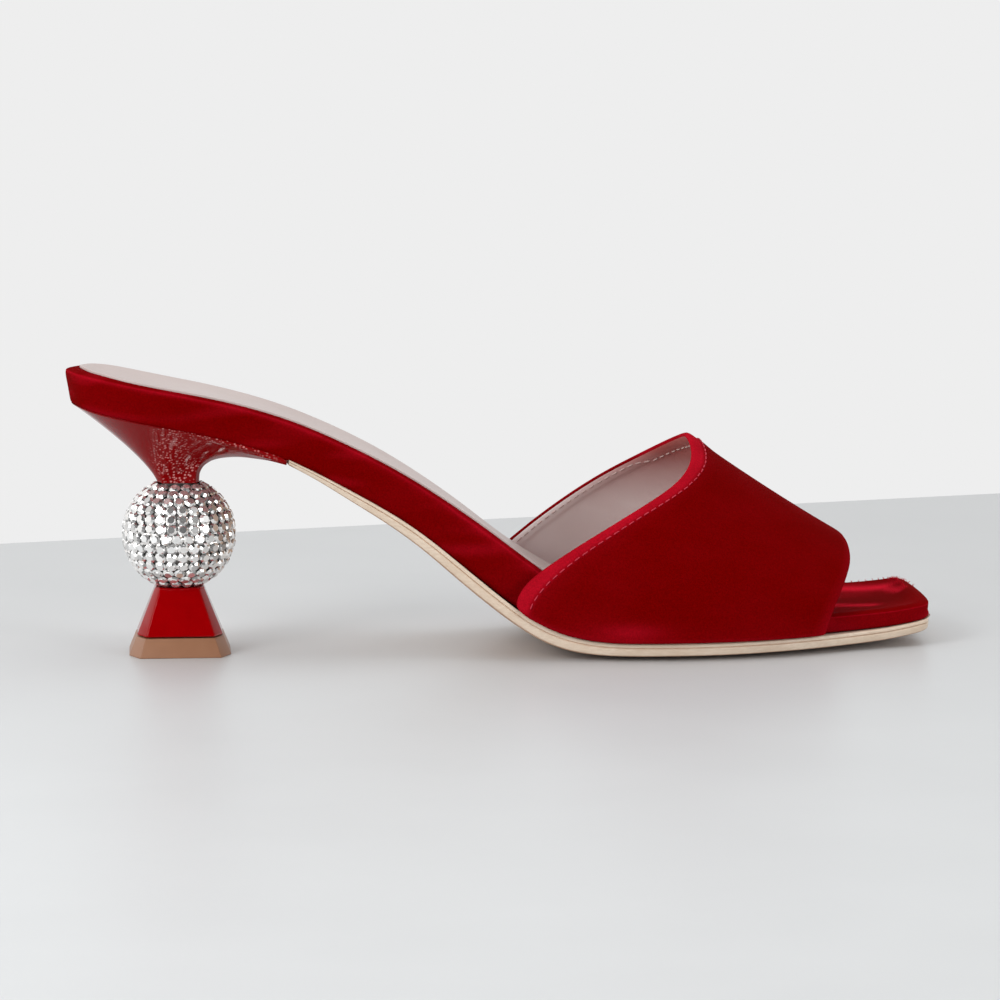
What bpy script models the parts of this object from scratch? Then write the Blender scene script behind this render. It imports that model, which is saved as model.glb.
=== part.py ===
"""A right-foot mule: velvet vamp and footbed, leather sole, and a heel of neck, ball and base.

+X runs from the heel to the toe, +Y to the inner side of the foot, +Z up from the floor.
"""

import math
from collections import namedtuple

import bmesh
import bpy
from mathutils import Matrix, Vector

MM = 0.001

# Length and widths of the sole's outline
LENGTH = 231.5 * MM
BALL_WIDTH = 78 * MM
HEEL_ROUND = 20 * MM
TOE_ROUND = 4.5 * MM
TOE_SLANT = 0.05

# Heights: the feather line is where sole and velvet meet along the side
HEEL_RISE = 63.2 * MM
TOE_SPRING = 3.0 * MM
SOLE = 3.5 * MM
BALL_SAG = 1.0 * MM
ARCH_CANT = 1.0 * MM

# Footbed and its sock lining
FOOTBED_EDGE = 9.5 * MM
EDGE_LEAN = 1.6 * MM
FRONT_LEAN = 0.4
EDGE_ROUND = 1.5 * MM
EDGE_INSET = 0.4 * MM
TOE_INSET = 0.25 * MM
HEEL_CUP = 1.4 * MM
TOE_CUP = 1.1 * MM
END_RIM = 6 * MM
SOCK = 1.0 * MM
SOCK_MARGIN = 1.2 * MM
SOCK_HEEL_MARGIN = 2.4 * MM
SOCK_END = 160 * MM
SHELF_STEP = 0.2 * MM

# Vamp
WALL = 2.0 * MM
THROAT_FOOT = 116 * MM
VAMP_LEAD = 22 * MM
VAMP_TAIL = 6 * MM
VAMP_CLEARANCE = 0.4 * MM
THROAT_TOP = 167 * MM
THROAT_BULGE = 2.7 * MM
BULGE_RISE = (0.54, 0.74)
BULGE_FALL = (0.76, 0.92)
TOE_OPENING_FOOT = 198.5 * MM
TOE_OPENING_TOP = 209.8 * MM
CROWN = 53.5 * MM
THROAT_FLARE = 1.2 * MM
CROWN_SLOPE = 0.657
CROWN_HOLLOW = 0.7 * MM
RIDGE_OFFSET = 6.0 * MM
VAMP_FULLNESS = 1.0 * MM
FULLNESS_REACH = 1.6
FOLD_WIDTH = 3.6 * MM
FOLD_STEP = 0.45 * MM
FOLD_SHOULDER = 1.15

# Heel: neck, ball, base and top lift stand on one upright axis
HEEL_AXIS = 30.2 * MM
HEEL_TURN = -4.0
BALL_RADIUS = 15.0 * MM
BALL_CENTRE = 31.6 * MM
NECK_WIDTH = 11.0 * MM
NECK_END = 57 * MM
NECK_LIP = 1.7 * MM
NECK_CREASE = 26.5 * MM
NECK_FLARE = 1.30
LIP_FLARE = 3.2
BASE_TOP_WIDTH = 12.8 * MM
BASE_FOOT_WIDTH = 27 * MM
LIFT = 5.0 * MM
CHAMFER_LONG = 0.23
CHAMFER_WIDE = 0.10

GAP = 0.3 * MM

# Lateral and medial half widths of the outline, as shares of BALL_WIDTH
Plan = namedtuple("Plan", "at lateral medial")
PLAN = (
    Plan(0.000, 0.295, 0.295),
    Plan(0.052, 0.303, 0.303),
    Plan(0.109, 0.314, 0.314),
    Plan(0.196, 0.314, 0.312),
    Plan(0.304, 0.310, 0.297),
    Plan(0.413, 0.328, 0.303),
    Plan(0.500, 0.379, 0.354),
    Plan(0.565, 0.428, 0.423),
    Plan(0.630, 0.472, 0.485),
    Plan(0.696, 0.490, 0.510),
    Plan(0.748, 0.481, 0.515),
    Plan(0.817, 0.438, 0.490),
    Plan(0.891, 0.362, 0.444),
    Plan(0.957, 0.300, 0.397),
    Plan(1.000, 0.269, 0.367),
)

# rise is a share of HEEL_RISE, spring of TOE_SPRING, edge of FOOTBED_EDGE, sag of BALL_SAG,
# sole of SOLE and cant of ARCH_CANT, which lifts the inner side. Rise, spring and sag are
# level under the ball, so the tread there is flat.
Profile = namedtuple("Profile", "at rise spring edge sag sole cant")
PROFILE = (
    Profile(0.000, 1.000, 0.00, 0.94, 0.00, 0.40, -0.6),
    Profile(0.052, 0.959, 0.00, 1.02, 0.00, 0.40, -0.7),
    Profile(0.109, 0.917, 0.00, 1.02, 0.00, 0.40, -0.7),
    Profile(0.183, 0.854, 0.00, 1.04, 0.00, 0.40, -0.5),
    Profile(0.248, 0.771, 0.00, 1.10, 0.00, 0.42, 0.0),
    Profile(0.317, 0.639, 0.00, 1.22, 0.10, 0.80, 0.5),
    Profile(0.387, 0.487, 0.00, 1.29, 0.25, 1.15, 0.7),
    Profile(0.452, 0.293, 0.00, 1.47, 0.50, 1.42, 0.4),
    Profile(0.504, 0.137, 0.00, 1.52, 0.75, 1.30, -0.3),
    Profile(0.539, 0.056, 0.00, 1.41, 0.90, 1.24, -0.3),
    Profile(0.574, 0.017, 0.00, 1.13, 1.00, 1.12, 0.0),
    Profile(0.617, 0.000, 0.00, 0.82, 1.00, 1.00, 0.0),
    Profile(0.674, 0.000, 0.00, 0.63, 1.00, 1.00, 0.0),
    Profile(0.739, 0.000, 0.00, 0.56, 1.00, 1.00, 0.0),
    Profile(0.813, 0.000, 0.03, 0.53, 0.95, 0.97, 0.0),
    Profile(0.887, 0.000, 0.12, 0.52, 0.80, 0.97, 0.0),
    Profile(0.952, 0.000, 0.38, 0.50, 0.60, 0.97, 0.0),
    Profile(1.000, 0.000, 1.00, 0.47, 0.50, 0.92, 0.0),
)

# The footbed's velvet edge, from its foot up to the rim: lean and curl are shares of
# EDGE_LEAN and EDGE_ROUND, up is a share of the edge's height
EdgeRow = namedtuple("EdgeRow", "lean curl up")
FOOTBED_SIDE = (
    EdgeRow(1.00, 0.0, 0.00),
    EdgeRow(0.60, 0.0, 0.30),
    EdgeRow(0.25, 0.0, 0.62),
    EdgeRow(0.06, 0.0, 0.84),
    EdgeRow(0.00, 0.25, 0.94),
    EdgeRow(0.00, 1.0, 1.00),
)

# The sole's side, from the feather line down: a rand, a fine groove, then a rounded edge.
# inset is a share of SOLE, down a share of the sole's thickness there
SoleRow = namedtuple("SoleRow", "inset down")
SOLE_SIDE = (
    SoleRow(0.06, 0.00),
    SoleRow(0.00, 0.09),
    SoleRow(0.00, 0.26),
    SoleRow(0.09, 0.31),
    SoleRow(0.01, 0.37),
    SoleRow(0.02, 0.62),
    SoleRow(0.10, 0.87),
    SoleRow(0.30, 1.00),
)

LATERAL = -1
MEDIAL = 1
STATION_STEP = 7.5 * MM
TANGENT_STEP = 0.2 * MM
ACROSS = (-0.8, -0.5, 0.0, 0.5, 0.8)
NECK_LAYERS = 12
NECK_STRIPS = 8
NOSE_STRIPS = 2
BALL_ROWS = 14

Material = namedtuple("Material", "colour roughness metallic")
VELVET = Material((0.165, 0.001, 0.002), 0.85, 0.0)
LEATHER = Material((0.60, 0.43, 0.33), 0.45, 0.0)
LINING = Material((0.66, 0.50, 0.47), 0.50, 0.0)
LACQUER = Material((0.27, 0.001, 0.003), 0.12, 0.0)
CRYSTAL = Material((0.72, 0.72, 0.74), 0.10, 0.9)
RUBBER = Material((0.30, 0.15, 0.08), 0.55, 0.0)


def table(rows, column, at):
    """A smooth curve through one column of a table, which never swings past its rows."""
    xs = [row.at for row in rows]
    ys = [getattr(row, column) for row in rows]
    at = min(max(at, xs[0]), xs[-1])
    slopes = [(ys[i + 1] - ys[i]) / (xs[i + 1] - xs[i]) for i in range(len(xs) - 1)]
    tangents = [slopes[0]]
    for before, after in zip(slopes, slopes[1:]):
        level = before * after <= 0
        tangents.append(0.0 if level else 2 * before * after / (before + after))
    tangents.append(slopes[-1])
    i = max(n for n in range(len(xs) - 1) if xs[n] <= at)
    span = xs[i + 1] - xs[i]
    t = (at - xs[i]) / span
    rise = t * t * (3 - 2 * t)
    bend = tangents[i] * t * (1 - t) ** 2 - tangents[i + 1] * t * t * (1 - t)
    return ys[i] + (ys[i + 1] - ys[i]) * rise + span * bend


def ease(value, start, end):
    """0 before start and 1 after end, with a soft step between."""
    t = min(max((value - start) / (end - start), 0.0), 1.0)
    return t * t * (3 - 2 * t)


def mix(first, second, share):
    return first + (second - first) * share


def corner(distance, radius):
    """How far a round corner pulls an edge in, at this distance from the end."""
    if distance >= radius:
        return 0.0
    return radius - math.sqrt(max(radius**2 - (radius - distance) ** 2, 0.0))


def half_width(x, side):
    column = "lateral" if side == LATERAL else "medial"
    width = BALL_WIDTH * table(PLAN, column, x / LENGTH)
    return width - corner(x, HEEL_ROUND) - corner(LENGTH - x, TOE_ROUND)


def edge_point(x, side):
    """A point of the sole's outline. Toe and heel slant, as the foot swings in at the front."""
    y = side * half_width(x, side)
    toe = TOE_SLANT * y * ease(x, 0.8 * LENGTH, LENGTH)
    heel = -math.tan(math.radians(HEEL_TURN)) * y * (1 - ease(x, 0, 0.25 * LENGTH))
    return Vector((x + toe + heel, y))


def feather(x, across):
    """Height of the line where velvet meets sole, from -1 at the outer side to 1 at the inner."""
    at = x / LENGTH
    rise = HEEL_RISE * table(PROFILE, "rise", at) + TOE_SPRING * table(PROFILE, "spring", at)
    cant = ARCH_CANT * table(PROFILE, "cant", at) * (1 + across) / 2
    return SOLE + BALL_SAG + rise + cant


def belly(across):
    """1 over the level middle of the sole, falling to 0 at its sides."""
    return 1 - ease(abs(across), 0.5, 1.0)


def insole(x, across):
    """Height of the last's bottom, which sags between the two feather lines."""
    return feather(x, across) - BALL_SAG * table(PROFILE, "sag", x / LENGTH) * belly(across)


def rim(x, across):
    """Height of the footbed's rim."""
    return feather(x, across) + FOOTBED_EDGE * table(PROFILE, "edge", x / LENGTH)


def sole_depth(x):
    return SOLE * table(PROFILE, "sole", x / LENGTH)


def stations(start, end):
    """Section places from start to end, closer together round the heel and the toe."""
    places = [HEEL_ROUND * (1 - math.cos(math.radians(a))) for a in range(0, 90, 15)]
    middle = LENGTH - HEEL_ROUND - TOE_ROUND
    count = round(middle / STATION_STEP)
    places += [HEEL_ROUND + middle * i / count for i in range(count + 1)]
    places += [LENGTH - TOE_ROUND * (1 - math.sin(math.radians(a))) for a in range(30, 91, 30)]
    inner = [x for x in places if start + MM < x < end - MM]
    return [start, *inner, end]


def rail(xs, side):
    """Outline points with their outward directions, for offsets in plan."""
    found = []
    for x in xs:
        point = edge_point(x, side)
        behind = edge_point(max(x - TANGENT_STEP, 0.0), side)
        ahead = edge_point(min(x + TANGENT_STEP, LENGTH), side)
        along = ahead - behind
        if x <= 0:
            outward = Vector((-1.0, 0.0))
        elif x >= LENGTH:
            outward = Vector((1.0, -side * TOE_SLANT)).normalized()
        else:
            outward = Vector((-along.y, along.x)).normalized() * side
        found.append((point, outward))
    return found


def inset(spot, distance):
    point, outward = spot
    return point - outward * distance


def at_height(point, z):
    return Vector((point.x, point.y, z))


def collection_named(name):
    collection = bpy.data.collections.new(name)
    bpy.context.scene.collection.children.link(collection)
    return collection


def material_named(name, look):
    made = bpy.data.materials.new(name)
    made.use_nodes = True
    shader = made.node_tree.nodes["Principled BSDF"]
    shader.inputs["Base Color"].default_value = (*look.colour, 1.0)
    shader.inputs["Roughness"].default_value = look.roughness
    shader.inputs["Metallic"].default_value = look.metallic
    made.diffuse_color = (*look.colour, 1.0)
    return made


def finish_object(name, mesh, look, sharp_angle):
    """Adds the mesh to the mule with its own material, smooth but for its sharp edges."""
    mesh.materials.append(material_named(name, look))
    mesh.shade_smooth()
    mesh.set_sharp_from_angle(angle=math.radians(sharp_angle))
    made = bpy.data.objects.new(name, mesh)
    mule.objects.link(made)
    made.parent = origin
    return made


def mesh_from(name, shape):
    bmesh.ops.recalc_face_normals(shape, faces=shape.faces)
    mesh = bpy.data.meshes.new(name)
    shape.to_mesh(mesh)
    shape.free()
    return mesh


def skin(shape, rings):
    """Joins rings of equal length with quads, and returns their points."""
    loops = [[shape.verts.new(point) for point in ring] for ring in rings]
    count = len(rings[0])
    for first, second in zip(loops, loops[1:]):
        for i in range(count):
            j = (i + 1) % count
            shape.faces.new((first[i], first[j], second[j], second[i]))
    return loops


def plain_loft(rings):
    """A closed skin over rings, with a flat face on each end."""
    shape = bmesh.new()
    loops = skin(shape, rings)
    shape.faces.new(loops[0])
    shape.faces.new(loops[-1])
    return shape


def section_loft(sections):
    """A closed skin over sections. Each end is closed by strips from side to side."""
    shape = bmesh.new()
    rings = [part.left + part.top + part.right[::-1] + part.bottom[::-1] for part in sections]
    loops = skin(shape, rings)
    rows = len(sections[0].left)
    wide = len(sections[0].top)
    for ring in (loops[0], loops[-1]):
        left = ring[:rows]
        top = ring[rows : rows + wide]
        right = ring[rows + wide : 2 * rows + wide][::-1]
        bottom = ring[2 * rows + wide :]
        for i in range(rows - 1):
            above = top if i == rows - 2 else []
            below = bottom if i == 0 else []
            shape.faces.new((left[i], left[i + 1], *above, right[i + 1], right[i], *below))
    return shape


Section = namedtuple("Section", "left top right bottom")


def between_rails(x, left, right, height):
    """Points across a section, with the height that the function gives for each."""
    points = []
    for share in ACROSS:
        plan = left.lerp(right, (share + 1) / 2)
        points.append(at_height(plan, height(x, share)))
    return points


def build_outsole():
    xs = stations(NECK_END + GAP, LENGTH)
    shoulder = SOLE_SIDE[0].inset * SOLE
    foot = SOLE_SIDE[-1].inset * SOLE
    sections = []
    for x, left, right in zip(xs, rail(xs, LATERAL), rail(xs, MEDIAL)):
        depth = sole_depth(x)

        def edge(spot, side):
            rows = reversed(SOLE_SIDE)
            level = feather(x, side)
            return [at_height(inset(spot, row.inset * SOLE), level - row.down * depth) for row in rows]

        def underside(x, share):
            return insole(x, share) - depth

        top = between_rails(x, inset(left, shoulder), inset(right, shoulder), insole)
        bottom = between_rails(x, inset(left, foot), inset(right, foot), underside)
        sections.append(Section(edge(left, LATERAL), top, edge(right, MEDIAL), bottom))
    mesh = mesh_from("outsole", section_loft(sections))
    return finish_object("outsole", mesh, LEATHER, 35)


def footbed_inset(x):
    """The footbed's edge is flush at the heel, and steps in to pass inside the vamp."""
    inside = WALL + GAP + VAMP_CLEARANCE
    under_vamp = mix(EDGE_INSET, inside, ease(x, THROAT_FOOT - VAMP_LEAD, THROAT_FOOT))
    return mix(under_vamp, TOE_INSET, ease(x, TOE_OPENING_FOOT + VAMP_TAIL, LENGTH - TOE_ROUND))


def bed(x, across):
    """Height of the footbed's top inside its rim, cupped between its sides and its ends."""
    cup = mix(HEEL_CUP, TOE_CUP, ease(x, 0.2 * LENGTH, 0.7 * LENGTH))
    ends = ease(x, 0, END_RIM) * (1 - ease(x, LENGTH - END_RIM, LENGTH - TOE_ROUND / 2))
    return rim(x, across) - cup * ends * (1 - across**4)


def sock_edge(x):
    """How far inside the sole's outline the seat of the sock lining begins."""
    return footbed_inset(x) + EDGE_ROUND + mix(SOCK_HEEL_MARGIN, SOCK_MARGIN, ease(x, 0, HEEL_ROUND))


def build_footbed():
    xs = [x for x in stations(0.0, LENGTH) if abs(x - SOCK_END) > MM]
    xs = sorted(xs + [SOCK_END, SOCK_END + GAP])
    sections = []
    for x, left, right in zip(xs, rail(xs, LATERAL), rail(xs, MEDIAL)):
        lean = EDGE_LEAN * mix(1.0, FRONT_LEAN, ease(x, 0.25 * LENGTH, 0.5 * LENGTH))
        seat = SOCK if x <= SOCK_END else 0.0
        foot_edge = footbed_inset(x) + lean
        shelf_edge = sock_edge(x)

        def edge(spot, side):
            foot = insole(x, side) + GAP
            height = rim(x, side) - foot
            points = []
            for row in FOOTBED_SIDE:
                inward = footbed_inset(x) + row.lean * lean + row.curl * EDGE_ROUND
                points.append(at_height(inset(spot, inward), foot + row.up * height))
            points.append(at_height(inset(spot, shelf_edge - SHELF_STEP), rim(x, side)))
            points.append(at_height(inset(spot, shelf_edge), rim(x, side) - seat))
            return points

        def top_height(x, share):
            return bed(x, share) - seat

        def foot_height(x, share):
            return insole(x, share) + GAP

        top = between_rails(x, inset(left, shelf_edge), inset(right, shelf_edge), top_height)
        bottom = between_rails(x, inset(left, foot_edge), inset(right, foot_edge), foot_height)
        sections.append(Section(edge(left, LATERAL), top, edge(right, MEDIAL), bottom))
    mesh = mesh_from("footbed", section_loft(sections))
    return finish_object("footbed", mesh, VELVET, 50)


def build_sock():
    xs = stations(0.0, SOCK_END - GAP)
    sections = []
    for x, left, right in zip(xs, rail(xs, LATERAL), rail(xs, MEDIAL)):
        left_plan = inset(left, sock_edge(x) + GAP)
        right_plan = inset(right, sock_edge(x) + GAP)

        def under(x, share):
            return bed(x, share) - SOCK + GAP

        def over(x, share):
            return bed(x, share) + GAP

        def edge(plan, side):
            return [at_height(plan, under(x, side)), at_height(plan, over(x, side))]

        top = between_rails(x, left_plan, right_plan, over)
        bottom = between_rails(x, left_plan, right_plan, under)
        sections.append(Section(edge(left_plan, LATERAL), top, edge(right_plan, MEDIAL), bottom))
    mesh = mesh_from("sock_lining", section_loft(sections))
    return finish_object("sock_lining", mesh, LINING, 35)


# Vamp sections round the last, from the throat to the toe opening: (y / half) ** side and
# (z / height) ** top add to 1, so larger powers make a squarer section
VampShape = namedtuple("VampShape", "at side top")
VAMP_SHAPE = (
    VampShape(0.480, 1.80, 2.10),
    VampShape(0.700, 1.75, 2.00),
    VampShape(0.800, 1.90, 2.10),
    VampShape(1.000, 2.30, 2.40),
)
VAMP_AROUND = 40
VAMP_ALONG = 16
THROAT_SWEEP = 1.6
TOE_SWEEP = 1.25


def crown(x):
    """Height of the vamp's ridge line, slightly hollow, with a slight flare at the throat."""
    flare = THROAT_FLARE * (1 - ease(x, THROAT_TOP, THROAT_TOP + 2 * FOLD_WIDTH))
    forward = x - THROAT_TOP
    share = forward / (TOE_OPENING_TOP - THROAT_TOP)
    hollow = 4 * CROWN_HOLLOW * max(share * (1 - share), 0.0)
    return CROWN + flare - CROWN_SLOPE * forward - hollow


def last_point(x, turn):
    """A point on the last at x. turn goes from 0 at the outer feather line to 1 at the inner."""
    angle = math.pi * turn
    side = LATERAL if turn <= 0.5 else MEDIAL
    power_side = table(VAMP_SHAPE, "side", x / LENGTH)
    power_top = table(VAMP_SHAPE, "top", x / LENGTH)
    out = abs(math.cos(angle)) ** (2 / power_side)
    up = max(math.sin(angle), 0.0) ** (2 / power_top)
    ridge = RIDGE_OFFSET * up
    foot = feather(x, side) + GAP
    height = crown(x) - foot
    edge = edge_point(x, side)
    fullness = VAMP_FULLNESS * math.sin(math.pi * min(up * FULLNESS_REACH, 1.0))
    y = edge.y * out + ridge + side * fullness
    return Vector((x + (edge.x - x) * out, y, foot + height * up))


def vamp_point(turn, share):
    """share runs from the throat to the toe opening, and both edges sweep with the height.

    The throat's edge bulges back a little on the inner side, over the foot's arch.
    """
    up = math.sin(math.pi * turn)
    throat = mix(THROAT_FOOT, THROAT_TOP, math.sin(math.pi / 2 * up) ** THROAT_SWEEP)
    throat -= THROAT_BULGE * ease(turn, *BULGE_RISE) * (1 - ease(turn, *BULGE_FALL))
    opening = mix(TOE_OPENING_FOOT, TOE_OPENING_TOP, math.sin(math.pi / 2 * up) ** TOE_SWEEP)
    return last_point(mix(throat, opening, share), turn)


def build_vamp():
    """An open band over the last, thickened inwards. Its folded throat edge stands proud."""
    shape = bmesh.new()
    rows = []
    for i in range(VAMP_AROUND + 1):
        way = i / VAMP_AROUND
        turn = 0.5 - 0.5 * math.cos(math.pi * way) * mix(0.75, 1.0, abs(2 * way - 1))
        length = (vamp_point(turn, 1) - vamp_point(turn, 0)).length
        fold = FOLD_WIDTH / length
        shoulder = fold * FOLD_SHOULDER
        shares = [0.0, fold, shoulder]
        shares += [mix(shoulder, 1.0, j / VAMP_ALONG) for j in range(1, VAMP_ALONG + 1)]
        rows.append([shape.verts.new(vamp_point(turn, share)) for share in shares])
    for first, second in zip(rows, rows[1:]):
        for j in range(len(first) - 1):
            shape.faces.new((first[j], second[j], second[j + 1], first[j + 1]))
    shape.normal_update()
    proud = [(row[j], row[j].normal.copy()) for row in rows for j in range(2)]
    for vert, normal in proud:
        vert.co += normal * FOLD_STEP
    mesh = bpy.data.meshes.new("vamp")
    shape.to_mesh(mesh)
    shape.free()
    made = finish_object("vamp", mesh, VELVET, 50)
    wall = made.modifiers.new("wall", "SOLIDIFY")
    wall.thickness = WALL
    wall.offset = -1
    wall.use_even_offset = True
    return made


def octagon(width, z):
    """A square of this width on the heel's axis with its corners cut, as a ring."""
    half = width / 2
    along = half - width * CHAMFER_WIDE
    across = half - width * CHAMFER_LONG
    quarter = [(half, across), (along, half)]
    corners = quarter + [(-x, y) for x, y in quarter[::-1]]
    corners += [(-x, -y) for x, y in corners]
    turned = [Matrix.Rotation(math.radians(HEEL_TURN), 2) @ Vector(spot) for spot in corners]
    return [Vector((HEEL_AXIS + x, y, z)) for x, y in turned]


def build_base():
    """The lacquered foot of the heel, flared to the floor, on its rubber top lift."""
    top = BALL_CENTRE - ball_flat_height() - GAP

    def width_at(z):
        return mix(BASE_FOOT_WIDTH, BASE_TOP_WIDTH, z / top)

    lift = plain_loft([octagon(width_at(0.0), 0.0), octagon(width_at(LIFT), LIFT)])
    block = plain_loft([octagon(width_at(LIFT + GAP), LIFT + GAP), octagon(BASE_TOP_WIDTH, top)])
    finish_object("top_lift", mesh_from("top_lift", lift), RUBBER, 20)
    finish_object("heel_base", mesh_from("heel_base", block), LACQUER, 20)


def ball_flat_height():
    """Half height of the ball, whose two ends are cut flat to seat the neck and the base."""
    seat = BASE_TOP_WIDTH / 2
    return math.sqrt(BALL_RADIUS**2 - seat**2)


def build_ball():
    """A turned bead, as a half profile spun about the heel's axis."""
    half = ball_flat_height()
    reach = math.asin(half / BALL_RADIUS)
    angles = [mix(reach, -reach, i / BALL_ROWS) for i in range(BALL_ROWS + 1)]
    profile = [(0.0, half)] + [(BALL_RADIUS * math.cos(a), BALL_RADIUS * math.sin(a)) for a in angles]
    profile.append((0.0, -half))
    mesh = bpy.data.meshes.new("heel_ball")
    points = [(x, 0.0, z) for x, z in profile]
    mesh.from_pydata(points, [(i, i + 1) for i in range(len(points) - 1)], [])
    made = finish_object("heel_ball", mesh, CRYSTAL, 40)
    made.location = (HEEL_AXIS, 0.0, BALL_CENTRE)
    spin = made.modifiers.new("spin", "SCREW")
    spin.steps = 2 * BALL_ROWS
    spin.render_steps = 2 * BALL_ROWS
    spin.use_merge_vertices = True
    spin.merge_threshold = 0.00001
    return made


def along(points, count):
    """Points spaced evenly along a polyline, both ends kept."""
    lengths = [(b - a).length for a, b in zip(points, points[1:])]
    total = sum(lengths)
    found = []
    for i in range(count + 1):
        left = total * i / count
        j = 0
        while j < len(lengths) - 1 and left > lengths[j]:
            left -= lengths[j]
            j += 1
        found.append(points[j].lerp(points[j + 1], min(left / lengths[j], 1.0)))
    return found


def build_neck():
    """Flares from the ball to the seat: an octagon below, the heel's outline above.

    The back is cut by a crease on each side, and the front runs out to a thin lip.
    """
    bottom_z = BALL_CENTRE + ball_flat_height() + GAP
    corners = octagon(NECK_WIDTH, bottom_z)
    flat = EDGE_INSET + EDGE_LEAN
    back_xs = stations(0.0, NECK_CREASE)
    side_xs = [mix(NECK_CREASE, NECK_END, i / NECK_STRIPS) for i in range(NECK_STRIPS + 1)]

    def seat_points(xs, side):
        return [inset(spot, flat) for spot in rail(xs, side)]

    def plan(corner_point):
        return Vector((corner_point.x, corner_point.y))

    def half_loop(side):
        """Pairs of foot and seat points from the back corner to the front corner."""
        back, crease = (corners[3], corners[2]) if side == MEDIAL else (corners[4], corners[5])
        front, nose = (corners[1], corners[0]) if side == MEDIAL else (corners[6], corners[7])
        back_seat = along(seat_points(back_xs, side), NECK_STRIPS)
        side_seat = along(seat_points(side_xs, side), NECK_STRIPS)
        back_foot = along([plan(back), plan(crease)], NECK_STRIPS)
        side_foot = along([plan(crease), plan(front)], NECK_STRIPS - NOSE_STRIPS)
        side_foot += along([plan(front), plan(nose)], NOSE_STRIPS)[1:]
        return list(zip(back_foot + side_foot[1:], back_seat + side_seat[1:]))

    medial = half_loop(MEDIAL)
    lateral = half_loop(LATERAL)
    nose_foot = along([lateral[-1][0], medial[-1][0]], NECK_STRIPS // 2)
    nose_seat = along([lateral[-1][1], medial[-1][1]], NECK_STRIPS // 2)
    nose = list(zip(nose_foot, nose_seat))
    loop = lateral + nose[1:-1] + medial[::-1]

    def neck_point(foot, seat, share):
        """The front flares late, so that it hugs the seat as a lip."""
        forward = ease(seat.x, NECK_CREASE, NECK_END)
        seat_z = feather(seat.x, seat.y / BALL_WIDTH * 2)
        lip = 1 - NECK_LIP / (seat_z - bottom_z) * forward
        flare = min(share / lip, 1.0) ** mix(NECK_FLARE, LIP_FLARE, forward)
        point = foot.lerp(seat, flare)
        over = feather(point.x, seat.y / BALL_WIDTH * 2)
        return at_height(point, mix(bottom_z, mix(seat_z, over, forward), share))

    lip_share = 1 - NECK_LIP / (feather(NECK_END, 0) - bottom_z)
    shares = [i / NECK_LAYERS for i in range(NECK_LAYERS)]
    shares = [share for share in shares if abs(share - lip_share) > 0.36 / NECK_LAYERS]
    shares += [lip_share, 1.0]
    rings = [[neck_point(foot, seat, share) for foot, seat in loop] for share in sorted(shares)]

    shape = bmesh.new()
    loops = skin(shape, rings)
    count = len(loop)
    shape.faces.new(loops[0])
    top = loops[-1]
    last = len(lateral) - 1
    for i in range(last - 1):
        shape.faces.new((top[i], top[i + 1], top[count - 2 - i], top[count - 1 - i]))
    shape.faces.new(top[last - 1 : count - last + 1])
    mesh = mesh_from("heel_neck", shape)
    return finish_object("heel_neck", mesh, LACQUER, 28)


def centre_on_origin():
    """Moves the empty so that the box of all the pieces stands centred on the origin."""
    bpy.context.view_layer.update()
    graph = bpy.context.evaluated_depsgraph_get()
    points = []
    for piece in mule.objects:
        if piece.type == "MESH":
            ready = piece.evaluated_get(graph)
            points += [ready.matrix_world @ Vector(corner_point) for corner_point in ready.bound_box]
    for axis in range(2):
        values = [point[axis] for point in points]
        origin.location[axis] = -(min(values) + max(values)) / 2


for old in list(bpy.data.objects):
    bpy.data.objects.remove(old)
mule = collection_named("mule")
origin = bpy.data.objects.new("mule_origin", None)
mule.objects.link(origin)

build_outsole()
build_footbed()
build_sock()
build_vamp()
build_neck()
build_ball()
build_base()
centre_on_origin()
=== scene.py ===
"""The finish of a red velvet mule: pile and lining, lacquered heel, crystal ball, leather sole.

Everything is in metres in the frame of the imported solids: +X to the toe, +Y to the inner side.
"""

import math
import random
from collections import namedtuple

import bmesh
import bpy
from mathutils import Matrix, Vector, noise
from mathutils.bvhtree import BVHTree


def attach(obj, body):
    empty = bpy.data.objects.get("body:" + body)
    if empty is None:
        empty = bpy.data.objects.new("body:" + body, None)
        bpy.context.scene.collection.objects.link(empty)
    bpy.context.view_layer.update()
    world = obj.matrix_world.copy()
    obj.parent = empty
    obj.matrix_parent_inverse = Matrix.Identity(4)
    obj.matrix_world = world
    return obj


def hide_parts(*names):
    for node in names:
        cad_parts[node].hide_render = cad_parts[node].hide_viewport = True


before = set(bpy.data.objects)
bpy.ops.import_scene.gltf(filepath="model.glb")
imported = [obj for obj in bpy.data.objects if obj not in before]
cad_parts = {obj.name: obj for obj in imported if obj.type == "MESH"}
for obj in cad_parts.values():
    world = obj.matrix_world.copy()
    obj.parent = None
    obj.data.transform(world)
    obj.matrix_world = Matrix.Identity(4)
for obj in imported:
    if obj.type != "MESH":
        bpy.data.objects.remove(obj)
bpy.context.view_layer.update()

MM = 0.001

# The photograph's view of the shoe
CAMERA_AZIMUTH = 8.0
CAMERA_ELEVATION = 7.2
CAMERA_ROLL = -0.1
CAMERA_DISTANCE = 1379.0 * MM
CAMERA_AIM = Vector((-0.33, -1.58, 38.72)) * MM
CAMERA_LENS = 185.76

# The dark of the room, seen from the shoe: over and round the camera
ROOM_SIDE = Vector((-0.117, -0.83, 0.545))
ROOM_EDGE = 0.62
ROOM_HEART = 0.88

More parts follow.
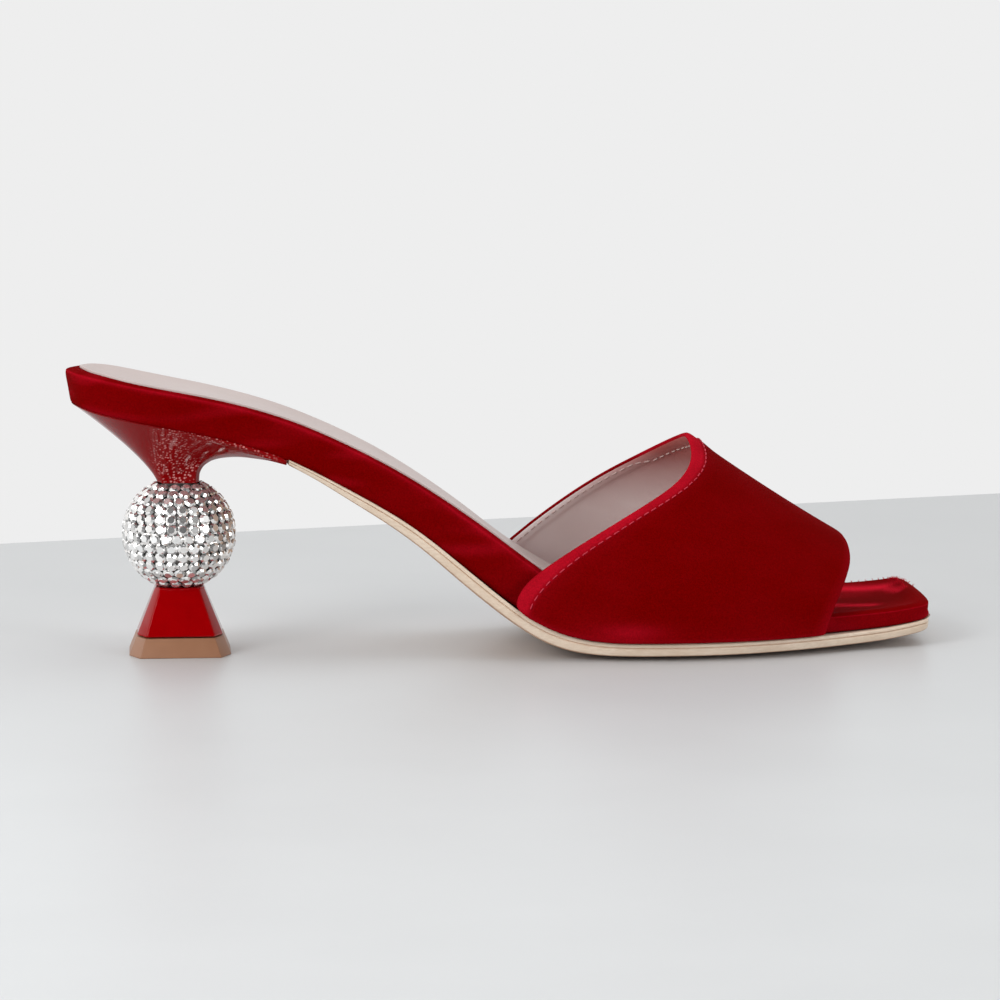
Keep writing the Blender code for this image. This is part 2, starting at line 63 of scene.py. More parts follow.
# The shoe's own sizes and places that its trim follows
HEEL_CENTRE = Vector((-86.3, -1.58)) * MM
BALL_CENTRE = 31.6 * MM
BALL_RADIUS = 15.0 * MM
VAMP_AXIS = Vector((0.0, 4.0 * MM, 18.0 * MM))
THROAT_FRONT = 56.0 * MM
THROAT_FOOT = 13.0 * MM
THROAT_SLOPE = 0.6
TOE_OPENING_BACK = 50.0 * MM
LOW_CORNER = 16.0 * MM
FAR_SIDE = 12.0 * MM
TOE_BED = 60.0 * MM

# How squarely a face has to look one way to count: out or in, ahead, back, up or down
WALL_FACING = 0.35
TOE_FACING = 0.6
BACK_FACING = -0.5
BED_FACING = 0.6
SIDE_FACING = 0.5
FOOT_FACING = -0.55
TREAD_FACING = -0.6

# Crystals and the clay that holds them
STONE = 3.0 * MM
STONE_SPREAD = 1.06
STONE_ROWS = 13
STONE_REACH = 61.0
STONE_RISE = 0.62 * MM
STONE_LIFT = 0.12 * MM
STONE_TILT = 0.04
STONE_SPIN = 0.8
STONE_WARMTH = 0.05
GIRDLE_DEPTH = 0.5 * MM
GIRDLE_SINK = 0.4 * MM
CORE_SINK = 0.85 * MM
# Rings of facets over the girdle: how far in, of the stone's size, and how far up, of its rise
CROWN_RINGS = ((0.12, 0.62), (0.09, 0.38))
GIRDLE_FACING = 0.4
TABLE_FACING = 0.93
# Painted reflections: the shades of the table, the other facets and the girdle
TABLE_SHADES = (0.7, 1.0, 1.0)
FACET_SHADES = (0.4, 0.9, 1.0, 1.0)
GIRDLE_SHADES = (0.03, 0.1)

# Stitches
STITCH_PITCH = 2.5 * MM
STITCH_LENGTH = 1.7 * MM
STITCH_WIDTH = 0.36 * MM
STITCH_END = 0.2
STITCH_DIVE = 0.35
STITCH_TAPER = 0.55
LINING_STITCH_IN = 0.5

# How far the footbed's foot is let down, its toe pushed out and the sock spread
FOOTBED_SETTLE = 0.15 * MM
HEEL_SETTLE = 0.35 * MM
HEEL_SETTLE_FRONT = 20.0 * MM
TOE_WRAP = 0.3 * MM
TOE_WRAP_HEIGHT = 12.0 * MM
TOE_WRAP_RUN = 30.0 * MM
SOCK_SPREAD = 0.2 * MM

# Softened edges
SOCK_EDGE = 0.22 * MM
BASE_EDGE = 0.55 * MM
LIFT_EDGE = 0.35 * MM

# How far the pile leans, with its painted sheen and highlights, from 0, flat and dark, to 1, light
# crimson
# The fold: its pile turned the other way, and painted sheen on it
FOLD_LEAN_AND_SHEEN = 0.45
FAR_FOLD_LEAN_AND_SHEEN = 0.3
SEAM_LEAN = 0.05
# Painted highlight along the vamp's rim
RIM_HIGHLIGHT = 0.15
# Painted light near the sole line
SOLE_LINE_LIGHT = 0.04
# A patch of pile lying another way, with painted sheen
SHEEN_PATCH_LEAN = 0.22
# Painted highlight on the footbed's crest
CREST_HIGHLIGHT = 0.32
# Painted light on the toe's wall
TOE_WALL_LIGHT = 0.1
STREAK_LEAN = 0.28
# Painted sheen on the loose pile
PILE_SHEEN = 0.9

# Where it leans, and where its sheen, highlights and light are painted
UNEVEN_RUN = 8.0 * MM
SHEEN_PATCH = Vector((29.0, 0.0, 8.0)) * MM
SHEEN_PATCH_RUN = 8.0 * MM
SHEEN_PATCH_HEIGHT = 2.0 * MM
SOLE_LINE = 5.0 * MM
SOLE_LINE_HEIGHT = 4.0 * MM
CREST_FACING = 0.4
CREST_SPREAD = 0.28
STREAK_SIZE = Vector((22.0, 12.0, 3.5)) * MM

# Loose pile on the toe's far rim
PILE_LENGTH = 0.8 * MM
PILE_RADIUS = 0.1 * MM
PILE_BEND = 0.35
PILE_LIFT = 0.2 * MM
PILE_STRAY = 0.5 * MM
PILE_BACK = TOE_BED + 25.0 * MM
PILE_NEAR = 4.0 * MM
PILE_FACING = (0.45, 0.97)

# Where the lining turns warm with height
WARM_FROM = 32.0 * MM
WARM_FULL = 48.0 * MM

# Where the crystals' dots show on the neck: how far it is turned to the side, and how far ahead
# of the heel's centre
GLINT_SIDE = (0.45, 0.75)
GLINT_BACK = (-9.0 * MM, -6.0 * MM)
GLINT_LIP = (26.0 * MM, 14.0 * MM)

# The floor slab, before it is turned about the origin
FLOOR_SIZE = (2.4, 1.6, 0.05)
FLOOR_PLACE = (0.0, -0.5587, -0.025)
FLOOR_TURN = -12.7

# Painted highlight bands on the toe's bed, where the pile catches the light, in millimetres from the
# origin
HighlightBand = namedtuple("HighlightBand", "start end width lean")
TOE_HIGHLIGHT_BANDS = (
    HighlightBand((84.0, 26.0), (107.5, 17.0), 3.6, 1.0),
    HighlightBand((107.5, 17.0), (110.5, 6.0), 2.0, 0.8),
    HighlightBand((84.0, -2.5), (99.0, -9.3), 2.3, 1.0),
)


# Number, colour and node helpers


def ramp(value, start, end):
    """Rises from 0 at the start to 1 at the end, and is level on either side."""
    return min(max((value - start) / (end - start), 0.0), 1.0)


def bell(value):
    """1 at nought, and falls away smoothly on either side."""
    return math.exp(-value * value)


def linear(hex_colour):
    """An sRGB hex colour as linear red, green, blue and alpha."""
    parts = [int(hex_colour[i : i + 2], 16) / 255 for i in (1, 3, 5)]
    parts = [c / 12.92 if c <= 0.04045 else ((c + 0.055) / 1.055) ** 2.4 for c in parts]
    return (*parts, 1.0)


def set_inputs(tree, node, inputs):
    """Sets a node's inputs. Each is a value, or a node or a socket to link from."""
    for name, value in inputs.items():
        if isinstance(value, bpy.types.Node):
            value = value.outputs[0]
        if isinstance(value, bpy.types.NodeSocket):
            tree.links.new(value, node.inputs[name])
        else:
            node.inputs[name].default_value = value


def add_node(tree, kind, inputs=None, **settings):
    """Adds a node with its settings and inputs."""
    node = tree.nodes.new(kind)
    for name, value in settings.items():
        setattr(node, name, value)
    set_inputs(tree, node, inputs or {})
    return node


def new_material(name):
    """An empty material, with its shader and the place that patterns are read from."""
    made = bpy.data.materials.new(name)
    made.use_nodes = True
    tree = made.node_tree
    shader = tree.nodes["Principled BSDF"]
    place = add_node(tree, "ShaderNodeTexCoord").outputs["Object"]
    return made, tree, shader, place


def per_mm(size):
    """The scale of a pattern whose grains are about this many millimetres across."""
    return 1000.0 / size


# Materials


def silk_velvet():
    """Silk velvet, woven with a cut pile of about 1 mm that was steamed and then combed up with a brush.

    It looks nearly black-red straight on. Where the pile leans, along folds, rims and creases,
    it turns a lighter crimson, partly painted in as sheen and highlight, and its edges catch a soft
    sheen.
    """
    made, tree, shader, place = new_material("silk_velvet_cut_pile")
    # Hand marks about 14 mm across, drawn out along the shoe
    flow = add_node(tree, "ShaderNodeMapping", {"Vector": place, "Scale": (0.5, 1.0, 1.2)})
    marks = add_node(tree, "ShaderNodeTexNoise", {"Vector": flow, "Scale": per_mm(14), "Detail": 3.0})
    soft = add_node(
        tree, "ShaderNodeMapRange", {"Value": marks, "From Min": 0.42, "From Max": 0.75, "To Max": 0.05}
    )
    # The pile's lean comes in one attribute with the sheen and highlights painted on it
    lean_and_sheen = add_node(tree, "ShaderNodeAttribute", attribute_name="lean_and_sheen").outputs["Fac"]
    lean = add_node(tree, "ShaderNodeMath", {0: soft, 1: lean_and_sheen}, operation="ADD", use_clamp=True)
    face = add_node(
        tree, "ShaderNodeMix", {0: lean, 6: linear("#6D0000"), 7: linear("#D2162E")}, data_type="RGBA"
    )
    # Tufts are 0.2 mm apart, too fine to show: drawn at 0.45 mm
    tufts = add_node(tree, "ShaderNodeTexNoise", {"Vector": place, "Scale": per_mm(0.45), "Detail": 2.0})
    grain = add_node(
        tree,
        "ShaderNodeMapRange",
        {"Value": tufts, "From Min": 0.3, "From Max": 0.7, "To Min": 0.82, "To Max": 1.12},
    )
    surface = {
        "Base Color": add_node(
            tree, "ShaderNodeVectorMath", {0: face.outputs[2], "Scale": grain}, operation="SCALE"
        ),
        "Normal": add_node(
            tree, "ShaderNodeBump", {"Height": tufts, "Distance": 0.12 * MM, "Strength": 0.5}
        ),
        "Roughness": 0.95,
        "IOR": 1.5,
        "Specular IOR Level": 0.01,
        "Sheen Weight": 0.02,
        "Sheen Roughness": 0.35,
        "Sheen Tint": linear("#FF1038"),
    }
    set_inputs(tree, shader, surface)
    return made


def kid_leather(name, low, high):
    """Kid leather, chrome tanned and finished smooth: pale pink cream, with a fine soft grain.

    Higher up in the vamp it turns a darker red-brown.
    """
    made, tree, shader, place = new_material(name)
    # Clouds of dye about 22 mm across
    tone = add_node(tree, "ShaderNodeTexNoise", {"Vector": place, "Scale": per_mm(22), "Detail": 2.0})
    plain = add_node(tree, "ShaderNodeMix", {0: tone, 6: linear(low), 7: linear(high)}, data_type="RGBA")
    warm = add_node(tree, "ShaderNodeAttribute", attribute_name="warm").outputs["Fac"]
    dyed = add_node(
        tree, "ShaderNodeMix", {0: warm, 6: plain.outputs[2], 7: linear("#A0504A")}, data_type="RGBA"
    )
    # Grain cells of kid are 0.3 mm: drawn at 0.6 mm
    cells = add_node(tree, "ShaderNodeTexVoronoi", {"Vector": place, "Scale": per_mm(0.6)}, feature="F1")
    relief = add_node(tree, "ShaderNodeBump", {"Height": cells, "Distance": 0.03 * MM, "Strength": 0.4})
    surface = {"Base Color": dyed.outputs[2], "Normal": relief, "Roughness": 0.42, "IOR": 1.5}
    set_inputs(tree, shader, surface)
    return made


def sole_leather(name, low, high, roughness):
    """Vegetable-tanned sole leather, rolled hard: matt nude with a fibrous, slightly worn face."""
    made, tree, shader, place = new_material(name)
    # Fibres about 0.5 mm thick, drawn out five times as long, over clouds about 9 mm across
    along = add_node(tree, "ShaderNodeMapping", {"Vector": place, "Scale": (0.2, 1.0, 1.0)})
    fibres = add_node(tree, "ShaderNodeTexNoise", {"Vector": along, "Scale": per_mm(0.5), "Detail": 3.0})
    tone = add_node(tree, "ShaderNodeTexNoise", {"Vector": place, "Scale": per_mm(9), "Detail": 3.0})
    blend = add_node(tree, "ShaderNodeMath", {0: fibres, 1: tone}, operation="MULTIPLY")
    spread = add_node(tree, "ShaderNodeMapRange", {"Value": blend, "From Min": 0.12, "From Max": 0.4})
    dyed = add_node(tree, "ShaderNodeMix", {0: spread, 6: linear(low), 7: linear(high)}, data_type="RGBA")
    relief = add_node(tree, "ShaderNodeBump", {"Height": fibres, "Distance": 0.04 * MM, "Strength": 0.35})
    surface = {"Base Color": dyed.outputs[2], "Normal": relief, "Roughness": roughness, "IOR": 1.5}
    set_inputs(tree, shader, surface)
    return made


def heel_lacquer(name, low, high, gloss):
    """Polyurethane lacquer, sprayed over a moulded ABS heel and polished: deep red and glossy."""
    made, tree, shader, place = new_material(name)
    # Spray leaves a swell about 3 mm long that only shows in reflections
    swell = add_node(tree, "ShaderNodeTexNoise", {"Vector": place, "Scale": per_mm(3), "Detail": 1.0})
    shade = add_node(tree, "ShaderNodeMix", {0: swell, 6: linear(low), 7: linear(high)}, data_type="RGBA")
    # Dots of light from the crystals, about 0.5 mm across and 0.85 mm apart, where glint says
    dots = add_node(tree, "ShaderNodeTexVoronoi", {"Vector": place, "Scale": per_mm(0.85)}, feature="F1")
    close = add_node(
        tree, "ShaderNodeMapRange", {"Value": dots, "From Min": 0.42, "From Max": 0.2, "To Max": 0.65}
    )
    here = add_node(tree, "ShaderNodeAttribute", attribute_name="glint").outputs["Fac"]
    lit = add_node(tree, "ShaderNodeMath", {0: close, 1: here}, operation="MULTIPLY")
    flecked = add_node(
        tree, "ShaderNodeMix", {0: lit, 6: shade.outputs[2], 7: linear("#F0A8A4")}, data_type="RGBA"
    )
    surface = {
        "Base Color": flecked.outputs[2],
        "Normal": add_node(
            tree, "ShaderNodeBump", {"Height": swell, "Distance": 0.02 * MM, "Strength": 0.06}
        ),
        "Roughness": 0.1,
        "IOR": 1.5,
        "Specular IOR Level": gloss,
        "Coat Weight": gloss * 0.4,
        "Coat Roughness": 0.03,
    }
    set_inputs(tree, shader, surface)
    return made


def foiled_crystal():
    """Machine-cut crystal glass with a silver foil behind it: each facet's painted reflection flashes
    white or black.
    """
    made, tree, shader = new_material("crystal_glass_foil_backed")[:3]
    # Each facet's colour is a painted reflection, from black to white
    fire = add_node(tree, "ShaderNodeAttribute", attribute_name="fire").outputs["Color"]
    set_inputs(tree, shader, {"Base Color": fire, "Metallic": 0.8, "Roughness": 0.07})
    return made


def setting_clay():
    """Two-part epoxy clay that holds the crystals: warm grey, dull, and seen only in the gaps."""
    made, tree, shader, place = new_material("epoxy_clay_set")
    # Specks of filler about 0.4 mm across
    specks = add_node(tree, "ShaderNodeTexNoise", {"Vector": place, "Scale": per_mm(0.4), "Detail": 2.0})
    grey = add_node(
        tree, "ShaderNodeMix", {0: specks, 6: linear("#6B6562"), 7: linear("#8B8581")}, data_type="RGBA"
    )
    set_inputs(tree, shader, {"Base Color": grey.outputs[2], "Roughness": 0.5, "IOR": 1.5})
    return made


def lift_rubber():
    """Moulded polyurethane top lift, dyed tan: satin, with faint mould grain."""
    made, tree, shader, place = new_material("polyurethane_top_lift_moulded")
    # Clouds of dye about 7 mm across, and mould grain about 0.5 mm across
    tone = add_node(tree, "ShaderNodeTexNoise", {"Vector": place, "Scale": per_mm(7), "Detail": 2.0})
    tan = add_node(
        tree, "ShaderNodeMix", {0: tone, 6: linear("#8A5E42"), 7: linear("#996C50")}, data_type="RGBA"
    )
    grain = add_node(tree, "ShaderNodeTexNoise", {"Vector": place, "Scale": per_mm(0.5), "Detail": 3.0})
    relief = add_node(tree, "ShaderNodeBump", {"Height": grain, "Distance": 0.03 * MM, "Strength": 0.4})
    surface = {"Base Color": tan.outputs[2], "Normal": relief, "Roughness": 0.42, "IOR": 1.5}
    set_inputs(tree, shader, surface)
    return made


def sewing_thread(name, low, high):
    """Twisted polyester thread, dyed, with its two plies showing."""
    made, tree, shader, place = new_material(name)
    # Plies are about 0.2 mm thick: drawn at 0.5 mm
    plies = add_node(tree, "ShaderNodeTexNoise", {"Vector": place, "Scale": per_mm(0.5), "Detail": 1.0})
    dyed = add_node(tree, "ShaderNodeMix", {0: plies, 6: linear(low), 7: linear(high)}, data_type="RGBA")
    surface = {
        "Base Color": dyed.outputs[2],
        "Normal": add_node(
            tree, "ShaderNodeBump", {"Height": plies, "Distance": 0.05 * MM, "Strength": 0.5}
        ),
        "Roughness": 0.6,
        "IOR": 1.55,
        "Specular IOR Level": 0.2,
    }
    set_inputs(tree, shader, surface)
    return made


def honed_floor():
    """Pale stone, honed: a plain light grey floor with a very soft reflection."""
    made, tree, shader, place = new_material("pale_stone_honed")
    # Clouds in the stone about 60 mm across
    cloud = add_node(tree, "ShaderNodeTexNoise", {"Vector": place, "Scale": per_mm(60), "Detail": 4.0})
    pale = add_node(
        tree, "ShaderNodeMix", {0: cloud, 6: linear("#C6C8C9"), 7: linear("#CDCFD0")}, data_type="RGBA"
    )
    set_inputs(tree, shader, {"Base Color": pale.outputs[2], "Roughness": 0.38, "IOR": 1.5})
    return made


VELVET = silk_velvet()
# Painted light and shade: the lining is given a paler colour for the dim inside, the sock a darker one
LINING = kid_leather("kid_leather_lining", "#F3E4E0", "#FAF1EE")
SOCK = kid_leather("kid_leather_sock", "#BBAAA5", "#C8BAB6")
SOLE_EDGE = sole_leather("sole_leather_waxed_edge", "#D3BDA6", "#E1CFBB", 0.38)
SOLE_FACE = sole_leather("sole_leather_rolled", "#B78F74", "#CBA88C", 0.5)
# Painted shade: the neck's lacquer is a darker copy of the base's, for the shade the neck stands in
NECK_LACQUER = heel_lacquer("polyurethane_lacquer_polished_neck", "#7C0002", "#860004", 0.07)
BASE_LACQUER = heel_lacquer("polyurethane_lacquer_polished_base", "#8C0003", "#960004", 0.11)
CRYSTAL = foiled_crystal()
CLAY = setting_clay()
LIFT = lift_rubber()
THREAD = sewing_thread("polyester_thread_crimson", "#A0142A", "#CC3C4E")
PALE_THREAD = sewing_thread("polyester_thread_cream", "#B89A94", "#D2BDB7")


# Modelling helpers


def only(piece):
    """Leaves object mode with this piece alone selected and active."""
    if bpy.context.mode != "OBJECT":
        bpy.ops.object.mode_set(mode="OBJECT")
    bpy.ops.object.select_all(action="DESELECT")
    piece.select_set(True)
    bpy.context.view_layer.objects.active = piece


def edit(piece, mode="FACE", select="SELECT"):
    """Opens edit mode on a piece, with all or none of it selected."""
    only(piece)
    bpy.ops.object.mode_set(mode="EDIT")
    bpy.ops.mesh.select_mode(type=mode)
    bpy.ops.mesh.select_all(action=select)


def done():
    bpy.ops.object.mode_set(mode="OBJECT")


def choose_faces(piece, wanted):
    """Selects the faces whose centre and normal pass the test, and opens edit mode on them."""
    edit(piece, select="DESELECT")
    done()
    for face in piece.data.polygons:
        face.select = wanted(face.center, face.normal)
    bpy.ops.object.mode_set(mode="EDIT")


def take_form(node, name):
    """A piece with the form of a CAD node, its triangles merged into faces."""
    piece = bpy.data.objects.new(name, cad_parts[node].data.copy())
    bpy.context.scene.collection.objects.link(piece)
    piece.data.materials.clear()
    edit(piece, "VERT")
    bpy.ops.mesh.remove_doubles(threshold=0.01 * MM)
    bpy.ops.mesh.customdata_custom_splitnormals_clear()
    bpy.ops.mesh.tris_convert_to_quads(
        face_threshold=math.radians(40), shape_threshold=math.radians(60)
    )
    done()
    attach(piece, "root")
    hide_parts(node)
    return piece


def add_modifier(piece, kind, **settings):
    """Adds a modifier and applies it."""
    only(piece)
    modifier = piece.modifiers.new(kind.lower(), kind)
    for name, value in settings.items():
        setattr(modifier, name, value)
    bpy.ops.object.modifier_apply(modifier=modifier.name)


def subdivide(piece):
    add_modifier(piece, "SUBSURF", levels=2, render_levels=2)


def soften(piece, width, angle, **settings):
    """Rounds off the edges that are sharper than an angle."""
    limit = math.radians(angle)
    add_modifier(piece, "BEVEL", width=width, limit_method="ANGLE", angle_limit=limit, **settings)


def grow(piece, distance):
    """Moves the whole surface out along its normals, or in."""
    edit(piece)
    bpy.ops.transform.shrink_fatten(value=distance)
    done()


def smooth(piece, angle=180):
    only(piece)
    bpy.ops.object.shade_smooth_by_angle(angle=math.radians(angle))


def finish_with(piece, slot, *materials):
    """Gives a piece its materials; the slot argument is not used."""
    for material in materials:
        piece.data.materials.append(material)


def paint(piece, name, value_at):
    """Stores a number at each point of a piece, which its material reads."""
    layer = piece.data.attributes.new(name, "FLOAT", "POINT")
    layer.data.foreach_set("value", [value_at(point) for point in piece.data.vertices])


def neighbours(mesh):
    """For each point, the points that an edge joins it to."""
    found = {point.index: set() for point in mesh.vertices}
    for edge in mesh.edges:
        first, second = edge.vertices
        found[first].add(second)
        found[second].add(first)
    return found


def crease(piece, angle, sharpness):
    """Keeps edges sharper than an angle crisp when the piece is subdivided."""
    shape = bmesh.new()
    shape.from_mesh(piece.data)
    layer = shape.edges.layers.float.new("crease_edge")
    for edge in shape.edges:
        if len(edge.link_faces) == 2 and edge.calc_face_angle() > math.radians(angle):
            edge[layer] = sharpness
    shape.to_mesh(piece.data)
    shape.free()


def add_form(name, add, **settings):
    """A new basic form, made by one of Blender's operators."""
    bpy.ops.object.select_all(action="DESELECT")
    add(**settings)
    form = bpy.context.object
    form.name = name
    return form


def open_below(form):
    """Takes away the faces that look straight down."""
    choose_faces(form, lambda centre, normal: normal.z < -0.9)
    bpy.ops.mesh.delete(type="FACE")
    done()


def set_copies(model, name, places):
    """Copies of a model set at places, as one joined piece. The model goes."""
    copies = []
    for place in places:
        mesh = model.data.copy()
        mesh.transform(place)
        copy = bpy.data.objects.new(name, mesh)
        bpy.context.scene.collection.objects.link(copy)
        copies.append(copy)
    bpy.data.objects.remove(model)
    only(copies[0])
    for copy in copies:
        copy.select_set(True)
    bpy.ops.object.join()
    copies[0].name = name
    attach(copies[0], "root")
    return copies[0]


def evenly(points, pitch):
    """Places a pitch apart along a line of points, each with the direction of the line."""
    lengths = [(b - a).length for a, b in zip(points, points[1:])]
    total = sum(lengths)
    count = int(total / pitch)
    found = []
    for step in range(count):
        left = pitch * (step + 0.5) + (total - count * pitch) / 2
        i = 0
        while i < len(lengths) - 1 and left > lengths[i]:
            left -= lengths[i]
            i += 1
        start, end = points[i], points[i + 1]
        found.append((start.lerp(end, left / lengths[i]), (end - start).normalized()))
    return found


def stand_on(spot, forward, up):
    """A matrix that lays +X along forward and +Z along up."""
    up = up.normalized()
    side = up.cross(forward).normalized()
    forward = side.cross(up)
    turn = Matrix((forward, side, up)).transposed().to_4x4()
    return Matrix.Translation(spot) @ turn


# Vamp: velvet outside, kid lining inside, folded over at the throat


def from_foot(spot):
    """The direction from the middle of the foot out through a spot on the vamp."""
    return Vector((0.0, spot.y - VAMP_AXIS.y, spot.z - VAMP_AXIS.z)).normalized()


def round_the_foot(spot):
    """The angle of a spot about the foot, from the outer side over to the inner."""
    return math.atan2(VAMP_AXIS.y - spot.y, spot.z - VAMP_AXIS.z)


def in_order(mesh, ring):
    return sorted((mesh.vertices[i].co.copy() for i in ring), key=round_the_foot)


def uneven(spot, lean):
    """A lean of the pile and its painted sheen, coming and going by half along an edge, every 8 mm or so.
    """
    return lean * (1.0 + 0.5 * noise.noise(spot / UNEVEN_RUN))


def sheen_patch_and_sole_light(spot):
    """Painted sheen on a short patch of pile lying another way, low outside, and painted light by the
    sole.
    """
    along = (spot.x - SHEEN_PATCH.x) / SHEEN_PATCH_RUN
    above = (spot.z - SHEEN_PATCH.z) / SHEEN_PATCH_HEIGHT
    mark = SHEEN_PATCH_LEAN * bell(math.hypot(along, above)) if spot.y < 0 else 0.0
    return mark + SOLE_LINE_LIGHT * bell((spot.z - SOLE_LINE) / SOLE_LINE_HEIGHT)


def is_throat(spot):
    """Whether a spot on the vamp's rim is at the throat and not at the toe or the foot."""
    return spot.x < THROAT_FRONT and spot.z > THROAT_FOOT + THROAT_SLOPE * spot.x


def is_cut_edge(face):
    """Whether a face closes the wall at the toe or at the vamp's low back corners."""
    at_toe = face.center.x > TOE_OPENING_BACK and face.normal.x > TOE_FACING
    return at_toe or (face.center.z < LOW_CORNER and face.normal.x < BACK_FACING)


def looks_out(face):
    """How squarely a face of the vamp looks away from the foot, from 1 out to -1 in."""
    return face.normal.dot(from_foot(face.center))


def make_vamp():
    """The vamp, with the lines that its stitches follow.

    Rows of points are found by walking from the rim: over the fold to its seam on the velvet
    side, and down the turned edge to the lining inside.
    """
    vamp = take_form("vamp", "vamp")
    mesh = vamp.data
    joined = neighbours(mesh)
    lining_faces = [
        face for face in mesh.polygons if looks_out(face) < -WALL_FACING and not is_cut_edge(face)
    ]
    skin_faces = [face for face in mesh.polygons if looks_out(face) > WALL_FACING]
    lining = {i for face in lining_faces for i in face.vertices}
    skin = {i for face in skin_faces for i in face.vertices}
    rim = {i for i in skin if joined[i] & lining}
    throat = {i for i in rim if is_throat(mesh.vertices[i].co)}
    fold = {j for i in throat for j in joined[i] & skin} - rim
    seam = {j for i in fold for j in joined[i] & skin} - rim - fold
    turned = {j for i in throat for j in joined[i] & lining}
    inner_rim = {j for i in rim for j in joined[i] & lining}
    inside = {j for i in turned for j in joined[i] & lining} - inner_rim
    edge = in_order(mesh, turned)
    inner = in_order(mesh, inside)
    near_edge = [
        spot.lerp(min(edge, key=lambda other: (other - spot).length), LINING_STITCH_IN)
        for spot in inner
    ]
    lines = {"seam": in_order(mesh, seam), "inside": near_edge}

    def edge_lean_and_sheen(point):
        # The fold: its pile turned the other way, and painted sheen on it
        if point.index in throat or point.index in fold:
            return uneven(point.co, FOLD_LEAN_AND_SHEEN if point.co.y < FAR_SIDE else FAR_FOLD_LEAN_AND_SHEEN)
        if point.index in seam:
            return SEAM_LEAN
        # The rim: a painted highlight
        return uneven(point.co, RIM_HIGHLIGHT) if point.index in rim else 0.0

    paint(vamp, "lean_and_sheen", edge_lean_and_sheen)
    paint(vamp, "warm", lambda point: ramp(point.co.z, WARM_FROM, WARM_FULL))
    finish_with(vamp, "vamp_velvet", VELVET, LINING)
    for face in lining_faces:
        face.material_index = 1
    subdivide(vamp)
    # Added after subdividing: the painted sheen patch, and painted light along the sole line
    for point, lean in zip(vamp.data.vertices, vamp.data.attributes["lean_and_sheen"].data):
        lean.value += sheen_patch_and_sole_light(point.co)
    smooth(vamp)
    return vamp, lines


def make_stitch(name):
    """One stitch along X: a short thread, thinner where it dives into the velvet."""
    stitch = add_form(
        name,
        bpy.ops.mesh.primitive_cylinder_add,
        vertices=8,
        radius=STITCH_WIDTH / 2,
        depth=STITCH_LENGTH * (1 - 2 * STITCH_END),
        rotation=(0, math.radians(90), 0),
    )
    bpy.ops.object.transform_apply(location=True, rotation=True, scale=True)
    for side in (-1, 1):
        choose_faces(stitch, lambda centre, normal, side=side: normal.x * side > 0.9)
        bpy.ops.mesh.select_mode(type="FACE")
        dive = (side * STITCH_LENGTH * STITCH_END, 0, -STITCH_WIDTH * STITCH_DIVE)
        bpy.ops.mesh.extrude_region_move(TRANSFORM_OT_translate={"value": dive})
        bpy.ops.transform.resize(value=(1, STITCH_TAPER, STITCH_TAPER))
        done()
    smooth(stitch, 60)
    return stitch


def sew(name, line, surface, lift, thread):
    """A row of stitches along a line, laid on a surface and raised by a share of their width."""
    mesh = bmesh.new()
    mesh.from_mesh(surface.data)
    skin = BVHTree.FromBMesh(mesh)
    mesh.free()
    places = []
    for spot, forward in evenly(line, STITCH_PITCH):
        near, normal = skin.find_nearest(spot)[:2]
        places.append(stand_on(near + normal * (STITCH_WIDTH * lift), forward, normal))
    row = set_copies(make_stitch("stitch"), name, places)
    finish_with(row, "vamp_velvet", thread)
    return row


# Footbed, sock and sole


def toe_highlight_bands(spot):
    """How much painted highlight the toe's bed gets, in soft bands where the pile catches the light."""
    lean = 0.0
    for band in TOE_HIGHLIGHT_BANDS:
        start, end = Vector(band.start) * MM, Vector(band.end) * MM
        along = end - start
        way = (Vector((spot.x, spot.y)) - start).dot(along) / along.length_squared
        off = Vector((spot.x, spot.y)) - start - along * ramp(way, 0.0, 1.0)
        lean = max(lean, band.lean * bell(off.length / (band.width * MM)))
    return lean


def make_footbed():
    """The velvet edge and toe of the footbed. Its foot meets the sole with no rounding."""
    footbed = take_form("footbed", "footbed_velvet_edge")
    mesh = footbed.data
    foot = {i for face in mesh.polygons if face.normal.z < FOOT_FACING for i in face.vertices}
    feet = [mesh.vertices[i].co.copy() for i in foot]
    wall = {i for face in mesh.polygons if face.normal.z < SIDE_FACING for i in face.vertices}
    for i in wall:
        point = mesh.vertices[i]
        toe = ramp(point.co.x, TOE_BED, TOE_BED + TOE_WRAP_RUN)
        below = min(feet, key=lambda other: (other.xy - point.co.xy).length).z
        low = ramp(point.co.z, below + TOE_WRAP_HEIGHT, below)
        outward = Vector((point.normal.x, point.normal.y, 0.0))
        point.co += outward * TOE_WRAP * toe * low
    for i in foot:
        heel = ramp(mesh.vertices[i].co.x, HEEL_SETTLE_FRONT, 0.0)
        mesh.vertices[i].co.z -= FOOTBED_SETTLE + HEEL_SETTLE * heel
    crease(footbed, 40, 0.55)
    crease(footbed, 60, 1.0)
    finish_with(footbed, "footbed_velvet", VELVET)
    subdivide(footbed)

    def lean_and_sheen(point):
        up = point.normal.z
        at_toe = point.co.x > TOE_BED
        # Painted highlight where the footbed's crest faces up at a slant
        crest = CREST_HIGHLIGHT * bell((up - CREST_FACING) / CREST_SPREAD)
        # Painted highlight bands on the toe's bed
        bed = toe_highlight_bands(point.co) if at_toe and up > BED_FACING else 0.0
        # Painted light on the toe's wall
        wall = TOE_WALL_LIGHT if at_toe and up < SIDE_FACING else 0.0
        streak = noise.noise(Vector([a / size for a, size in zip(point.co, STREAK_SIZE)]))
        return max(crest, bed, wall) + STREAK_LEAN * max(streak, 0.0)

    paint(footbed, "lean_and_sheen", lean_and_sheen)
    smooth(footbed)
    return footbed


